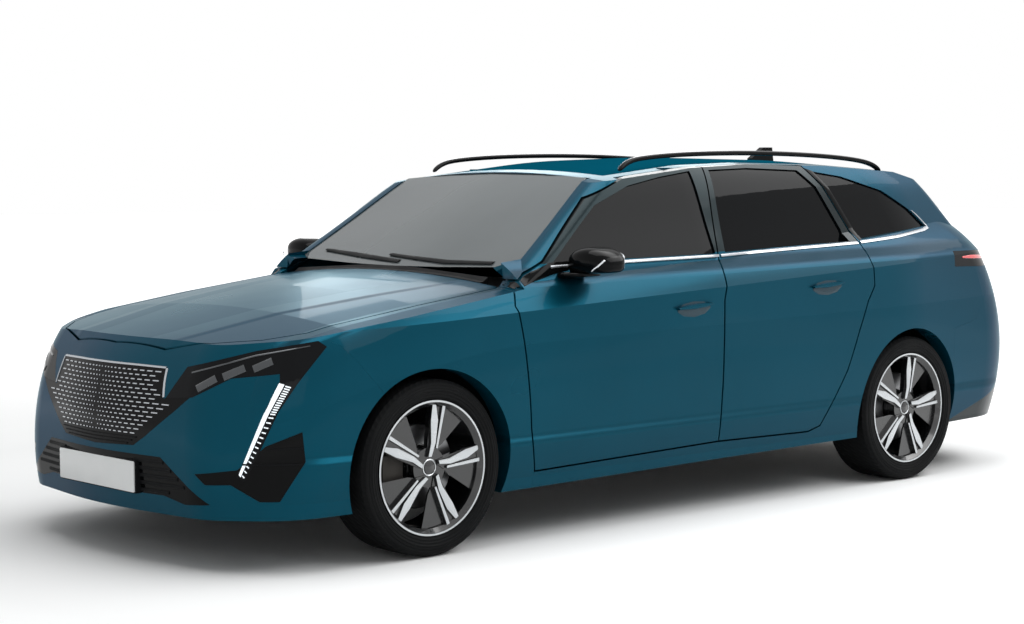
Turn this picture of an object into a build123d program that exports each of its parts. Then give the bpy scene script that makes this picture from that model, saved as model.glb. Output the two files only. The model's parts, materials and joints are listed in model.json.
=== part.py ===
from build123d import *
import math
import os

os.makedirs("parts", exist_ok=True)

# Five-door station wagon. All sizes in millimetres.
# +X points to the front of the car, +Y to its left side, +Z up, and the ground is Z = 0.
FRONT_AXLE_X = 1456
REAR_AXLE_X = -1276
TRACK = 1559
TYRE_RADIUS = 318.5
TYRE_WIDTH = 225
BEAD_RADIUS = 229
FLANGE_RADIUS = 243
RIM_WIDTH = 206
ARCH_RADIUS = 356
LINER_RADIUS = 376
LINER_WALL = 8
DOOR_WALL = 80
HOOD_WALL = 40
FRAME_WALL = 45
GLASS_INSET = 8
GLASS_THICKNESS = 5
PANEL_GAP = 7
TAILGATE_GAP = 13
SEAM = 0.5
FAR = 3000

WHEEL_Y = TRACK / 2

# One row per waterline of the lower body, taken on a plane that rises or falls along the car.
# Columns: height at X = 0, slope, nose X, nose corner (X, Y), front quarter (X, Y), half width at the
# front axle, at X = 0 and at the rear axle, rear quarter (X, Y), tail corner (X, Y), tail X.
WATERLINES = [
    (205, -.010, 2300, (2225, 585), (2030, 825), 868, 862, 868, (-2000, 815), (-2215, 600), -2262),
    (330, -.010, 2318, (2240, 585), (2035, 840), 895, 888, 895, (-2020, 840), (-2255, 610), -2306),
    (600, -.015, 2312, (2225, 560), (2010, 845), 912, 908, 918, (-2035, 850), (-2275, 615), -2318),
    (903, -.047, 2200, (2115, 560), (1895, 795), 880, 900, 890, (-1960, 775), (-2150, 590), -2200),
    (1003, -.060, 2060, (1990, 540), (1790, 720), 795, 832, 800, (-1830, 695), (-1990, 575), -2065),
    (1100, -.060, 1850, (1750, 450), (1600, 560), 640, 690, 640, (-1600, 560), (-1750, 480), -1830),
]
SHOULDER_ROW = 3
WATERLINE_RADII = [2500, 260, 420, 2000, 3000, 2000, 420, 200, 2500]

# One row per horizontal section of the cabin.
# Columns: height, windscreen X, pillar corner (X, Y), half width, rear side (X, Y), rear corner (X, Y), rear X.
CABIN_SECTIONS = [
    (920, 1100, (1010, 800), 850, (-1500, 790), (-2050, 685), -2190),
    (1090, 840, (770, 755), 797, (-1480, 748), (-1955, 655), -2095),
    (1240, 610, (555, 700), 738, (-1420, 700), (-1810, 620), -1935),
    (1350, 430, (395, 655), 690, (-1350, 655), (-1690, 585), -1805),
    (1410, 320, (290, 610), 645, (-1300, 610), (-1610, 545), -1725),
    (1460, 180, (160, 520), 560, (-1250, 520), (-1520, 470), -1640),
]
CABIN_RADII = [2500, 80, 2000, 1500, 110, 2500]

# Crowned surfaces that close the hood and the roof. Columns: X, height on the centre line, fall at |Y| = 1000.
HOOD_CROWN = [(2420, 490, 70), (2216, 781, 75), (1780, 876, 80), (1400, 932, 80), (960, 989, 83)]
ROOF_CROWN = [(1300, 1150, 80), (386, 1372, 90), (-100, 1423, 88), (-450, 1434, 85), (-1000, 1426, 85),
              (-1500, 1397, 85), (-2500, 1190, 85)]
CROWN_HALF_WIDTH = 1000
HOOD_BACK_X = 960


def fitted(points, wanted):
    """Corner radii, each limited to what its two sides leave room for."""
    count = len(points)
    radii = []
    for i, radius in enumerate(wanted):
        before, here, after = (Vector(*points[(i + k) % count]) for k in (-1, 0, 1))
        turn = math.radians((here - before).get_angle(after - here))
        side = min((here - before).length, (after - here).length)
        radii.append(min(radius, .45 * side / max(math.tan(turn / 2), 1e-4)))
    return radii


def mirrored(half):
    """A closed outline from its left half, which starts and ends on the centre line."""
    return half + [(x, -y) for x, y in half[-2:0:-1]]


def waterline(row, inset):
    nose, corner, quarter = row[2:5]
    y_front, y_mid, y_rear, rear_quarter, rear_corner, tail = row[5:]
    return mirrored([
        (nose - inset, 0),
        (corner[0] - inset, corner[1] - inset * .6),
        (quarter[0] - inset * .8, quarter[1] - inset * .8),
        (FRONT_AXLE_X, y_front - inset),
        (0, y_mid - inset),
        (REAR_AXLE_X, y_rear - inset),
        (rear_quarter[0] + inset * .8, rear_quarter[1] - inset * .8),
        (rear_corner[0] + inset, rear_corner[1] - inset * .6),
        (tail + inset, 0),
    ])


def cabin_outline(row, inset):
    front, pillar, y_mid, rear_side, rear_corner, rear = row[1:]
    return mirrored([
        (front - inset, 0),
        (pillar[0] - inset * .9, pillar[1] - inset),
        (-100, y_mid - inset),
        (rear_side[0], rear_side[1] - inset),
        (rear_corner[0] + inset * .8, rear_corner[1] - inset),
        (rear + inset, 0),
    ])


def crown(stations, drop):
    """A solid from the ground up to a crowned surface, lowered by drop."""
    w = CROWN_HALF_WIDTH
    with BuildPart() as solid:
        for x, z, fall in stations:
            with BuildSketch(Plane.YZ.offset(x)):
                with BuildLine():
                    ThreePointArc((-w, z - fall - drop), (0, z - drop), (w, z - fall - drop))
                    Polyline((w, z - fall - drop), (w, 0), (-w, 0), (-w, z - fall - drop))
                make_face()
        loft(ruled=True)
    return solid.part


def lower_body(inset, hood_drop):
    with BuildPart() as solid:
        for rows in (WATERLINES[:SHOULDER_ROW + 1], WATERLINES[SHOULDER_ROW:]):
            with BuildPart(mode=Mode.PRIVATE) as band:
                for row in rows:
                    height, slope = row[:2]
                    plane = Plane(origin=(0, 0, height), x_dir=(1, 0, slope), z_dir=(-slope, 0, 1))
                    points = waterline(row, inset)
                    with BuildSketch(plane):
                        with BuildLine():
                            radii = WATERLINE_RADII + WATERLINE_RADII[-2:0:-1]
                            FilletPolyline(*points, radius=fitted(points, radii), close=True)
                        make_face()
                loft()
            add(band.part)
        with BuildPart(mode=Mode.PRIVATE) as trim:
            add(crown(HOOD_CROWN, hood_drop))
            with Locations((HOOD_BACK_X, 0, 0)):
                Box(FAR + HOOD_BACK_X, 2 * FAR, FAR, align=(Align.MAX, Align.CENTER, Align.MIN))
        add(trim.part, mode=Mode.INTERSECT)
    return solid.part


def cabin(inset, roof_drop):
    with BuildPart() as solid:
        for row in CABIN_SECTIONS:
            points = cabin_outline(row, inset)
            with BuildSketch(Plane.XY.offset(row[0])):
                with BuildLine():
                    radii = CABIN_RADII + CABIN_RADII[-2:0:-1]
                    FilletPolyline(*points, radius=fitted(points, radii), close=True)
                make_face()
        loft()
        if roof_drop is not None:
            add(crown(ROOF_CROWN, roof_drop), mode=Mode.INTERSECT)
    return solid.part


def layer(inset, hood_drop, cabin_inset, roof_drop):
    """The whole body, inset from its skin."""
    with BuildPart() as solid:
        add(lower_body(inset, hood_drop))
        add(cabin(cabin_inset, roof_drop))
    return solid.part


outer = layer(0, 0, 0, 0)
inner = layer(DOOR_WALL, HOOD_WALL, FRAME_WALL, FRAME_WALL)
glass_outer = cabin(GLASS_INSET, None)
glass_inner = cabin(GLASS_INSET + GLASS_THICKNESS, None)

with BuildPart() as shell:
    add(outer)
    add(inner, mode=Mode.SUBTRACT)
    for x, radius in ((FRONT_AXLE_X, ARCH_RADIUS), (REAR_AXLE_X, ARCH_RADIUS)):
        with BuildSketch(Plane.XZ):
            with Locations((x, TYRE_RADIUS)):
                Circle(radius)
        extrude(amount=FAR, both=True, mode=Mode.SUBTRACT)

with BuildPart() as left_shell:
    add(shell.part)
    split(bisect_by=Plane.XZ, keep=Keep.BOTTOM)

with BuildPart() as glass_shell:
    add(glass_outer)
    add(glass_inner, mode=Mode.SUBTRACT)

# Side-view outlines (X, Z) of the panels on the car's left.
DOOR_FRONT = [(1000, 941), (1045, 876), (1030, 744), (1017, 598), (1000, 422), (965, 262), (-35, 283),
              (-31, 450), (-36, 650), (-46, 852), (-89, 1002), (-139, 1252), (-167, 1398), (100, 1377),
              (292, 1343), (505, 1264), (822, 1028)]
DOOR_REAR = [(-42, 283), (-593, 274), (-665, 293), (-720, 376), (-812, 519), (-888, 686), (-955, 812),
             (-1005, 875), (-1012, 1004), (-1000, 1110), (-900, 1300), (-815, 1392), (-450, 1402), (-175, 1398),
             (-147, 1252), (-97, 1002), (-54, 852), (-44, 650), (-39, 450)]
GLASS_FRONT = [(785, 1024), (489, 1238), (282, 1314), (100, 1348), (-82, 1372), (-86, 1036)]
GLASS_REAR = [(-145, 1040), (-198, 1376), (-450, 1384), (-775, 1374), (-860, 1302), (-950, 1115), (-955, 1064)]
GLASS_QUARTER = [(-1045, 1070), (-1040, 1110), (-945, 1296), (-880, 1368), (-1060, 1346), (-1322, 1281),
                 (-1500, 1196), (-1607, 1118)]
FENDER = [(972, 150), (972, 262), (1007, 422), (1024, 598), (1037, 744), (1052, 876), (1007, 945), (1007, 1100),
          (1873, 1100), (1873, 800), (1824, 777), (1768, 717), (1672, 600), (1672, 150)]
BODY_SIDE = [(972 - SEAM, 150), (972 - SEAM, 300), (990, 945), (1007 - SEAM, 945), (1007 - SEAM, 1500),
             (-2400, 1500), (-2400, 920), (-2000, 920), (-1943, 879), (-1912, 805), (-1790, 683), (-1600, 655),
             (-1600, 150)]
REAR_BUMPER = [(-1600 - SEAM, 150), (-1600 - SEAM, 655 - SEAM), (-1790, 683 - SEAM), (-1912, 805 - SEAM),
               (-1943, 879 - SEAM), (-2000, 920 - SEAM), (-2500, 920 - SEAM), (-2500, 150)]
FRONT_BUMPER = [(1672 + SEAM, 150), (1672 + SEAM, 600), (1768 + SEAM, 717), (1824 + SEAM, 777),
                (1873 + SEAM, 800), (1873 + SEAM, 1200), (2600, 1200), (2600, 150)]
# Sections (Y, Z) of the firewall and of the post between the doors, and their extents along X.
FIREWALL_HALF = [(0, 225), (768, 225), (790, 330), (808, 600), (780, 850), (690, 896), (640, 903), (0, 935)]
FIREWALL_X = (985, 1000)
B_POST = [(730, 225), (790, 225), (802, 330), (822, 600), (814, 895), (774, 1003), (746, 1090), (687, 1240),
          (640, 1335), (612, 1345), (612, 1385), (570, 1385), (575, 1340), (645, 1230), (700, 1090),
          (735, 990), (770, 880),
          (775, 600), (755, 330)]
B_POST_X = (-95, 5)
# Plan outline (X, Y) of the hood where the plane stands at the height of its front edge.
HOOD_HALF = [(2213, 0), (2195, 300), (2131, 500), (2010, 640), (1870, 712), (1400, 728), (1000, 728),
             (922, 690), (948, 350), (966, 0)]
HOOD_PLANE_Z = 781
HOOD_LEAN = .2
HOOD_CUT_X = 1008
# Front-view outlines (Y, Z), left half.
WINDSCREEN_HALF = [(0, 998), (300, 1000), (640, 1008), (690, 1020), (566, 1345), (300, 1362), (0, 1368)]
TAILGATE_HALF = [(0, 1500), (520, 1500), (545, 1350), (578, 1240), (612, 1100), (600, 1000), (560, 900),
                 (520, 780), (500, 640), (470, 622), (0, 612)]
TAILGATE_GLASS_HALF = [(0, 1330), (480, 1325), (520, 1240), (548, 1120), (520, 1085), (0, 1075)]
GRILLE_HALF = [(0, 692), (352, 692), (372, 588), (505, 598), (440, 548), (295, 449), (237, 415), (0, 404)]
INTAKE_HALF = [(0, 385), (380, 385), (605, 236), (495, 228), (387, 250), (0, 246)]
# Outlines of the left lamp, its daytime strip and the side intake, looking along the car's front corner:
# distance across the corner, height.
CORNER_VIEW = Plane(origin=(0, 0, 0), x_dir=(-1, 1, 0), z_dir=(1, 1, 0))
HEADLAMP = [(-1322, 583), (-1235, 700), (-983, 760), (-775, 792), (-745, 772), (-834, 653), (-897, 557),
            (-989, 361), (-1018, 318), (-1034, 342), (-947, 552), (-896, 662), (-897, 684), (-1067, 667),
            (-1206, 600)]
SIDE_INTAKE = [(-817, 489), (-807, 386), (-894, 251), (-962, 251), (-1063, 308), (-1155, 305), (-1195, 341),
               (-1040, 360), (-938, 443)]

# Wheel face, looking at the car's left side with the front to the left: columns across, up.
SPOKE_COUNT = 5
WIDE_SPOKE = [(8, 225), (25, 224), (34, 168), (22, 88), (3, 40), (-12, 40), (0, 88), (-1, 168)]
THIN_SPOKE = [(54, 219), (68, 215), (30, 66), (22, 70)]
SPOKE_WEB = [(8, 225), (68, 215), (32, 60), (3, 35), (-14, 38), (-2, 168)]
INSERT_PANEL = [(66, 215), (157, 158), (62, 78), (30, 62)]
HUB_FACE = 45
KINGPIN_Y = 740
TAIL_LAMP = [(-1695, 1002), (-1672, 932), (-1900, 926), (-2400, 923), (-2400, 985), (-1900, 1000)]
TAILGATE_LAMP_HALF = [(0, 976), (568, 976), (550, 926), (0, 926)]
RAIL = [(240, 1372), (170, 1430), (-450, 1462), (-1300, 1436), (-1425, 1372), (-1405, 1366), (-1290, 1418),
        (-450, 1444), (160, 1412), (218, 1362)]
FRONT_LINER_Y = 482
REAR_LINER_Y = 640
FLOOR_HALF_WIDTH = 850
FLOOR_SECTION = [(FIREWALL_X[0], 215), (-863, 215), (-940, 520), (-2180, 520), (-2180, 700), (-2165, 700),
                 (-2165, 545), (-915, 545), (-838, 245), (FIREWALL_X[0], 245)]


def prism(plane, outline, near, far, grow=0):
    """A straight block over an outline, between two distances from its plane."""
    with BuildPart() as solid:
        with BuildSketch(plane.offset(near)):
            with BuildLine():
                Polyline(*outline, close=True)
            make_face()
            if grow:
                offset(amount=grow, kind=Kind.INTERSECTION)
        extrude(amount=far - near)
    return solid.part


SIDE = Plane(origin=(0, 0, 0), x_dir=(1, 0, 0), z_dir=(0, -1, 0))
FRONT = Plane.YZ
DOOR_INBOARD = 625
ROOF_HALF_WIDTH = 560
TAILGATE_SEAM_X = -1480


def half_mirrored(half):
    return half + [(-y, z) for y, z in half[::-1] if y]


def side_block(outline, grow=0, inboard=0):
    return prism(SIDE, outline, -FAR, -inboard, grow)


def front_block(half, near, far, grow=0):
    return prism(FRONT, half_mirrored(half), near, far, grow)


def corner_block(outline, grow=0):
    return prism(CORNER_VIEW, outline, 400, 4000, grow)


def hood_block(grow=0):
    outline = [(x, y) for x, y in HOOD_HALF] + [(x, -y) for x, y in HOOD_HALF[-2:0:-1]]
    with BuildPart() as solid:
        with BuildSketch(Plane.XY.offset(HOOD_PLANE_Z)):
            with BuildLine():
                Polyline(*outline, close=True)
            make_face()
            if grow:
                offset(amount=grow, kind=Kind.INTERSECTION)
        extrude(amount=300, dir=(HOOD_LEAN, 0, 1))
        extrude(solid.faces().sort_by(Axis.Z)[0], amount=300, dir=(-HOOD_LEAN, 0, -1))
    return solid.part


def combine(base, *cuts, within=()):
    with BuildPart() as solid:
        add(base)
        for block in within:
            add(block, mode=Mode.INTERSECT)
        for block in cuts:
            add(block, mode=Mode.SUBTRACT)
    return solid.part


def box(x, y, z):
    """A block between two limits on each axis."""
    with BuildPart() as solid:
        with BuildSketch(Plane.XY.offset(z[0])):
            with Locations(((x[0] + x[1]) / 2, (y[0] + y[1]) / 2)):
                Rectangle(x[1] - x[0], y[1] - y[0])
        extrude(amount=z[1] - z[0])
    return solid.part


def across(outline, y0, y1):
    """A side-view outline extruded between two distances from the centre line."""
    return prism(SIDE, outline, -y1, -y0)


def axle_cylinder(x, radius, y0, y1):
    with BuildPart() as solid:
        with BuildSketch(SIDE.offset(-y1)):
            with Locations((x, TYRE_RADIUS)):
                Circle(radius)
        extrude(amount=y1 - y0)
    return solid.part


def joined(*pieces):
    with BuildPart() as solid:
        for piece in pieces:
            add(piece)
    return solid.part


def both_sides(part):
    return joined(part, part.mirror(Plane.XZ))


def save(part, name):
    part.label = name
    export_step(part, f"parts/{name}.step")
    print(name, len(part.solids()), round(part.volume / 1e6, 2))


def save_pair(part, name):
    save(part, f"{name}_left")
    save(part.mirror(Plane.XZ), f"{name}_right")


hood_gap = hood_block(PANEL_GAP)
windscreen_hole = front_block(WINDSCREEN_HALF, 200, 1400)
tailgate_block = front_block(TAILGATE_HALF, -FAR, TAILGATE_SEAM_X)
tailgate_gap = front_block(TAILGATE_HALF, -FAR, TAILGATE_SEAM_X + TAILGATE_GAP, TAILGATE_GAP)
roof_outline = [(300, -ROOF_HALF_WIDTH), (300, ROOF_HALF_WIDTH), (TAILGATE_SEAM_X + TAILGATE_GAP, ROOF_HALF_WIDTH),
                (TAILGATE_SEAM_X + TAILGATE_GAP, -ROOF_HALF_WIDTH)]
quarter_hole = side_block(GLASS_QUARTER)
lamp_block = corner_block(HEADLAMP)
intake_block = corner_block(SIDE_INTAKE)
grille_block = front_block(GRILLE_HALF, 1900, 2500)
low_block = front_block(INTAKE_HALF, 1900, 2500)

# Panels that open
hood_layer = combine(outer, crown(HOOD_CROWN, HOOD_WALL), within=[hood_block()])
save(combine(hood_layer, box((-FAR, HOOD_CUT_X), (-FAR, FAR), (0, FAR))), "hood")
save_pair(combine(left_shell.part, side_block(GLASS_FRONT), hood_gap,
                  within=[side_block(DOOR_FRONT, inboard=DOOR_INBOARD)]), "door_front")
save_pair(combine(left_shell.part, side_block(GLASS_REAR),
                  within=[side_block(DOOR_REAR, inboard=DOOR_INBOARD)]), "door_rear")
tail_glass_hole = front_block(TAILGATE_GLASS_HALF, -FAR, -1500)
lamp_hole = front_block(TAILGATE_LAMP_HALF, -FAR, -1500)
save(combine(shell.part, tail_glass_hole, lamp_hole, within=[tailgate_block]), "tailgate")
save(combine(shell.part, within=[front_block(TAILGATE_LAMP_HALF, -FAR, -1500, -SEAM)]), "tailgate_lamps")

# Fixed panels
door_holes = [side_block(outline, PANEL_GAP, DOOR_INBOARD - PANEL_GAP) for outline in (DOOR_FRONT, DOOR_REAR)]
save_pair(combine(left_shell.part, hood_gap, within=[side_block(FENDER)]), "fender")
roof_part = prism(Plane.XY, roof_outline, 1250, 1700)
b_post = prism(FRONT, B_POST, *B_POST_X)
side_wall = combine(left_shell.part, *door_holes, hood_gap, windscreen_hole, tailgate_gap, quarter_hole, roof_part,
                    within=[side_block(BODY_SIDE)])
cowl_block = box((955, 1010), (-612, 612), (925, 1010))
side_wall = combine(side_wall, side_block(TAIL_LAMP), cowl_block)
scuttle_gap = combine(hood_gap, box((-FAR, HOOD_CUT_X - PANEL_GAP), (-FAR, FAR), (0, FAR)))
save(combine(shell.part, scuttle_gap, windscreen_hole, within=[cowl_block]), "cowl")
save_pair(joined(side_wall, b_post), "body_side")
save(both_sides(combine(left_shell.part, tailgate_gap, within=[side_block(TAIL_LAMP, -SEAM)])), "tail_lamps")
save(combine(shell.part, windscreen_hole, tailgate_gap, within=[roof_part]), "roof_panel")
rear_half = combine(left_shell.part, tailgate_gap, within=[side_block(REAR_BUMPER)])
save(both_sides(rear_half), "rear_bumper")
front_half = combine(left_shell.part, hood_gap, lamp_block, intake_block, grille_block, low_block,
                     within=[side_block(FRONT_BUMPER)])
save(both_sides(front_half), "front_bumper")

# Glass
windscreen_pane = front_block([(y * .998, z) for y, z in WINDSCREEN_HALF], 200, 1400)
save(combine(glass_shell.part, within=[windscreen_pane]), "windscreen")
save_pair(combine(glass_shell.part, within=[side_block(GLASS_FRONT, -SEAM)]), "glass_front")
save_pair(combine(glass_shell.part, within=[side_block(GLASS_REAR, -SEAM)]), "glass_rear")
save(both_sides(combine(glass_shell.part, within=[side_block(GLASS_QUARTER, -SEAM)])), "quarter_glass")
save(combine(glass_shell.part, within=[front_block(TAILGATE_GLASS_HALF, -FAR, -1500, -SEAM)]),
     "tailgate_glass")

# Lamps and grilles fill their openings.
lamp_body = combine(left_shell.part, hood_gap, grille_block,
                    within=[corner_block(HEADLAMP, -SEAM), side_block(FRONT_BUMPER)])
save(both_sides(lamp_body), "headlamps")
intake_body = combine(left_shell.part, lamp_block, low_block,
                      within=[corner_block(SIDE_INTAKE, -SEAM), side_block(FRONT_BUMPER)])
save(both_sides(intake_body), "side_intakes")
save(combine(shell.part, hood_gap, within=[front_block(GRILLE_HALF, 1900, 2500, -SEAM)]), "grille")
save(combine(shell.part, within=[front_block(INTAKE_HALF, 1900, 2500, -SEAM)]), "lower_grille")

# Structure below and behind the panels
floor_plate = across(FLOOR_SECTION, -FLOOR_HALF_WIDTH, FLOOR_HALF_WIDTH)
rear_arch = axle_cylinder(REAR_AXLE_X, LINER_RADIUS + LINER_WALL + SEAM, REAR_LINER_Y - SEAM, FAR)
floor_pan = combine(floor_plate, rear_arch, rear_arch.mirror(Plane.XZ), within=[inner])
save(combine(floor_pan, b_post, b_post.mirror(Plane.XZ)), "floor_pan")
save(prism(FRONT, half_mirrored(FIREWALL_HALF), *FIREWALL_X), "firewall")


def arch_liner(x, inner_y, z_low):
    with BuildPart() as solid:
        add(axle_cylinder(x, LINER_RADIUS + LINER_WALL, inner_y, 900))
        add(axle_cylinder(x, LINER_RADIUS, inner_y + LINER_WALL, 901), mode=Mode.SUBTRACT)
        add(axle_cylinder(x, 60, inner_y - 1, inner_y + LINER_WALL + 1), mode=Mode.SUBTRACT)
        add(box((x - 500, x + 500), (0, 1000), (z_low, 900)), mode=Mode.INTERSECT)
        add(inner, mode=Mode.INTERSECT)
    return solid.part


save(both_sides(arch_liner(FRONT_AXLE_X, FRONT_LINER_Y, 300)), "front_arch_liners")
save(both_sides(arch_liner(REAR_AXLE_X, REAR_LINER_Y, 252)), "rear_arch_liners")

# Under the car
rail_beam = box((FIREWALL_X[1], 2045), (380, 440), (330, 430))
rail_post = box((1400, 1500), (380, 430), (214, 331))
lower_arm = across([(1375, 178), (1375, 200), (1440, 200), (1440, 178)], 300, 640)
arm_end = prism(Plane.XY, [(1375, 600), (1440, 600), (1476, 740), (1436, 740)], 178, 200)
radiator_post = combine(box((2045, 2085), (300, 340), (330, 900)), within=[crown(HOOD_CROWN, HOOD_WALL + SEAM)])
half_frame = joined(rail_beam, rail_post, lower_arm, arm_end, radiator_post)
cross_beams = joined(box((1250, 1600), (-430, 430), (178, 215)), box((2040, 2090), (-560, 560), (330, 430)))
save(joined(both_sides(half_frame), cross_beams), "front_subframe")
save(box((1180, 1800), (-330, 330), (262, 760)), "engine_block")
rear_beam = joined(box((-1180, -1110), (-600, 600), (232, 292)), both_sides(joined(
    box((-1300, -895), (560, 600), (240, 340)), axle_cylinder(REAR_AXLE_X, 30, 600, WHEEL_Y - 15))))
save(rear_beam, "rear_axle")
pipe_line = prism(FRONT, [(-20, 165), (20, 165), (20, 205), (-20, 205)], -1700, 1150)
muffler = box((-2000, -1700), (-300, 300), (165, 300))
hanger = box((-1860, -1840), (-20, 20), (299, 520))
save(joined(pipe_line, muffler, hanger), "exhaust")

# Cabin
dash = across([(984, 560), (984, 880), (925, 925), (640, 950), (560, 900), (600, 740), (700, 620)], -698, 698)
column = prism(Plane(origin=(700, 370, 810), x_dir=(0, 1, 0), z_dir=(-.94, 0, .34)),
               [(-30, -30), (30, -30), (30, 30), (-30, 30)], 0, 180)
save(joined(dash, column), "dashboard")
seat_cushion = across([(-180, 245.5), (300, 245.5), (360, 470), (330, 500), (-120, 450), (-200, 480)], 120, 620)
seat_back = across([(-200, 440), (-120, 440), (-250, 960), (-350, 960), (-300, 700)], 140, 600)
head_rest = across([(-270, 950), (-330, 950), (-390, 1150), (-310, 1160)], 260, 480)
save(both_sides(joined(seat_cushion, seat_back, head_rest)), "front_seats")
rear_seat = across([(-828, 245.5), (-420, 245.5), (-380, 470), (-420, 500), (-800, 470), (-860, 560), (-1040, 1000),
                    (-1110, 1000), (-1000, 700), (-925, 549), (-905, 549), (-890, 480)], -620, 620)
save(rear_seat, "rear_seat")
with BuildPart() as steering_wheel:
    wheel_plane = Plane(origin=(521.4, 370, 874.6), x_dir=(0, 1, 0), z_dir=(-.94, 0, .34))
    with BuildSketch(wheel_plane):
        Circle(185)
        Circle(158, mode=Mode.SUBTRACT)
        Rectangle(330, 40)
        Circle(60)
    extrude(amount=26)
save(steering_wheel.part, "steering_wheel")

# Roof fittings
save(both_sides(combine(across(RAIL, 572, 602), outer)), "roof_rails")
fin = across([(-1205, 1380), (-1205, 1432), (-1290, 1484), (-1350, 1484), (-1365, 1380)], -14, 14)
save(combine(fin, outer), "roof_antenna")
mirror_body = joined(
    prism(Plane.XY, [(762, 862), (770, 1000), (735, 1031), (600, 1031), (572, 985), (590, 870)], 985, 1088),
    prism(Plane.XY, [(745, 770), (745, 900), (640, 900), (660, 770)], 975, 1000))
save_pair(combine(mirror_body, outer), "mirror")


def turned(points, degrees):
    c = math.cos(math.radians(degrees))
    s = math.sin(math.radians(degrees))
    return [(x * c + y * s, y * c - x * s) for x, y in points]


def wheel(axle_x):
    face = Plane(origin=(axle_x, WHEEL_Y, TYRE_RADIUS), x_dir=(-1, 0, 0), z_dir=(0, 1, 0))
    half_rim = RIM_WIDTH / 2
    with BuildPart() as solid:
        with BuildSketch(Plane(origin=(axle_x, WHEEL_Y, TYRE_RADIUS), x_dir=(0, 1, 0), z_dir=(1, 0, 0))):
            with BuildLine():
                Polyline((-half_rim, FLANGE_RADIUS), (-96, FLANGE_RADIUS), (-95, BEAD_RADIUS), (95, BEAD_RADIUS),
                         (96, FLANGE_RADIUS), (half_rim, FLANGE_RADIUS), (half_rim, 234), (86, 219), (-86, 219),
                         (-half_rim, 234), close=True)
            make_face()
        revolve(axis=Axis((axle_x, WHEEL_Y, TYRE_RADIUS), (0, 1, 0)))
        for k in range(SPOKE_COUNT):
            for outline, low, high in ((SPOKE_WEB, 62, 84), (INSERT_PANEL, 68, 76), (WIDE_SPOKE, 83, 92),
                                       (THIN_SPOKE, 83, 92)):
                with BuildSketch(face.offset(low)):
                    with BuildLine():
                        Polyline(*turned(outline, k * 360 / SPOKE_COUNT), close=True)
                    make_face()
                extrude(amount=high - low)
        with BuildSketch(face.offset(HUB_FACE)):
            Circle(72)
        extrude(amount=35)
        with BuildSketch(face.offset(HUB_FACE - 60)):
            Circle(75)
        extrude(amount=61)
        with BuildSketch(face.offset(-10)):
            Circle(155)
        extrude(amount=22)
    return solid.part


def tyre(axle_x):
    half = TYRE_WIDTH / 2
    with BuildPart() as solid:
        with BuildSketch(Plane(origin=(axle_x, WHEEL_Y, TYRE_RADIUS), x_dir=(0, 1, 0), z_dir=(1, 0, 0))):
            with BuildLine():
                Polyline((-half + 18, TYRE_RADIUS - 2), (-half + 5, TYRE_RADIUS - 13), (-half, 280), (-half + 6, 252),
                         (-95.5, FLANGE_RADIUS + SEAM), (-94.5, BEAD_RADIUS + SEAM), (94.5, BEAD_RADIUS + SEAM),
                         (95.5, FLANGE_RADIUS + SEAM), (half - 6, 252), (half, 280),
                         (half - 5, TYRE_RADIUS - 13), (half - 18, TYRE_RADIUS - 2))
                ThreePointArc((half - 18, TYRE_RADIUS - 2), (0, TYRE_RADIUS), (-half + 18, TYRE_RADIUS - 2))
            make_face()
        revolve(axis=Axis((axle_x, WHEEL_Y, TYRE_RADIUS), (0, 1, 0)))
    return solid.part


for corner, axle_x in (("front", FRONT_AXLE_X), ("rear", REAR_AXLE_X)):
    save_pair(wheel(axle_x), f"wheel_{corner}")
    save_pair(tyre(axle_x), f"tyre_{corner}")

# Steering knuckle with its stub axle and brake caliper
upright = box((FRONT_AXLE_X - 30, FRONT_AXLE_X + 30), (KINGPIN_Y - 25, KINGPIN_Y + 10), (200.5, 440))
stub = axle_cylinder(FRONT_AXLE_X, 32, 690, WHEEL_Y - 15.5)
caliper = combine(box((FRONT_AXLE_X + 90, FRONT_AXLE_X + 180), (KINGPIN_Y - 5, 822), (270, 370)),
                  axle_cylinder(FRONT_AXLE_X, 162, 763, 798))
bracket = box((FRONT_AXLE_X, FRONT_AXLE_X + 100), (KINGPIN_Y - 5, 762), (290, 350))
save_pair(joined(upright, stub, caliper, bracket), "knuckle")
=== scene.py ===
# %% [markdown]
# A five-door estate car. The CAD model already has every panel, pane, wheel and seat in place, so this
# lesson dresses it: finishes for each surface, then the small pieces that sit on the skin, such as the
# grille's dashes, the lamps' light guides and the window trim.

# %% Load the frame
import json
import math

import bmesh
import bpy
from mathutils import Matrix, Vector
from mathutils.bvhtree import BVHTree

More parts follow.
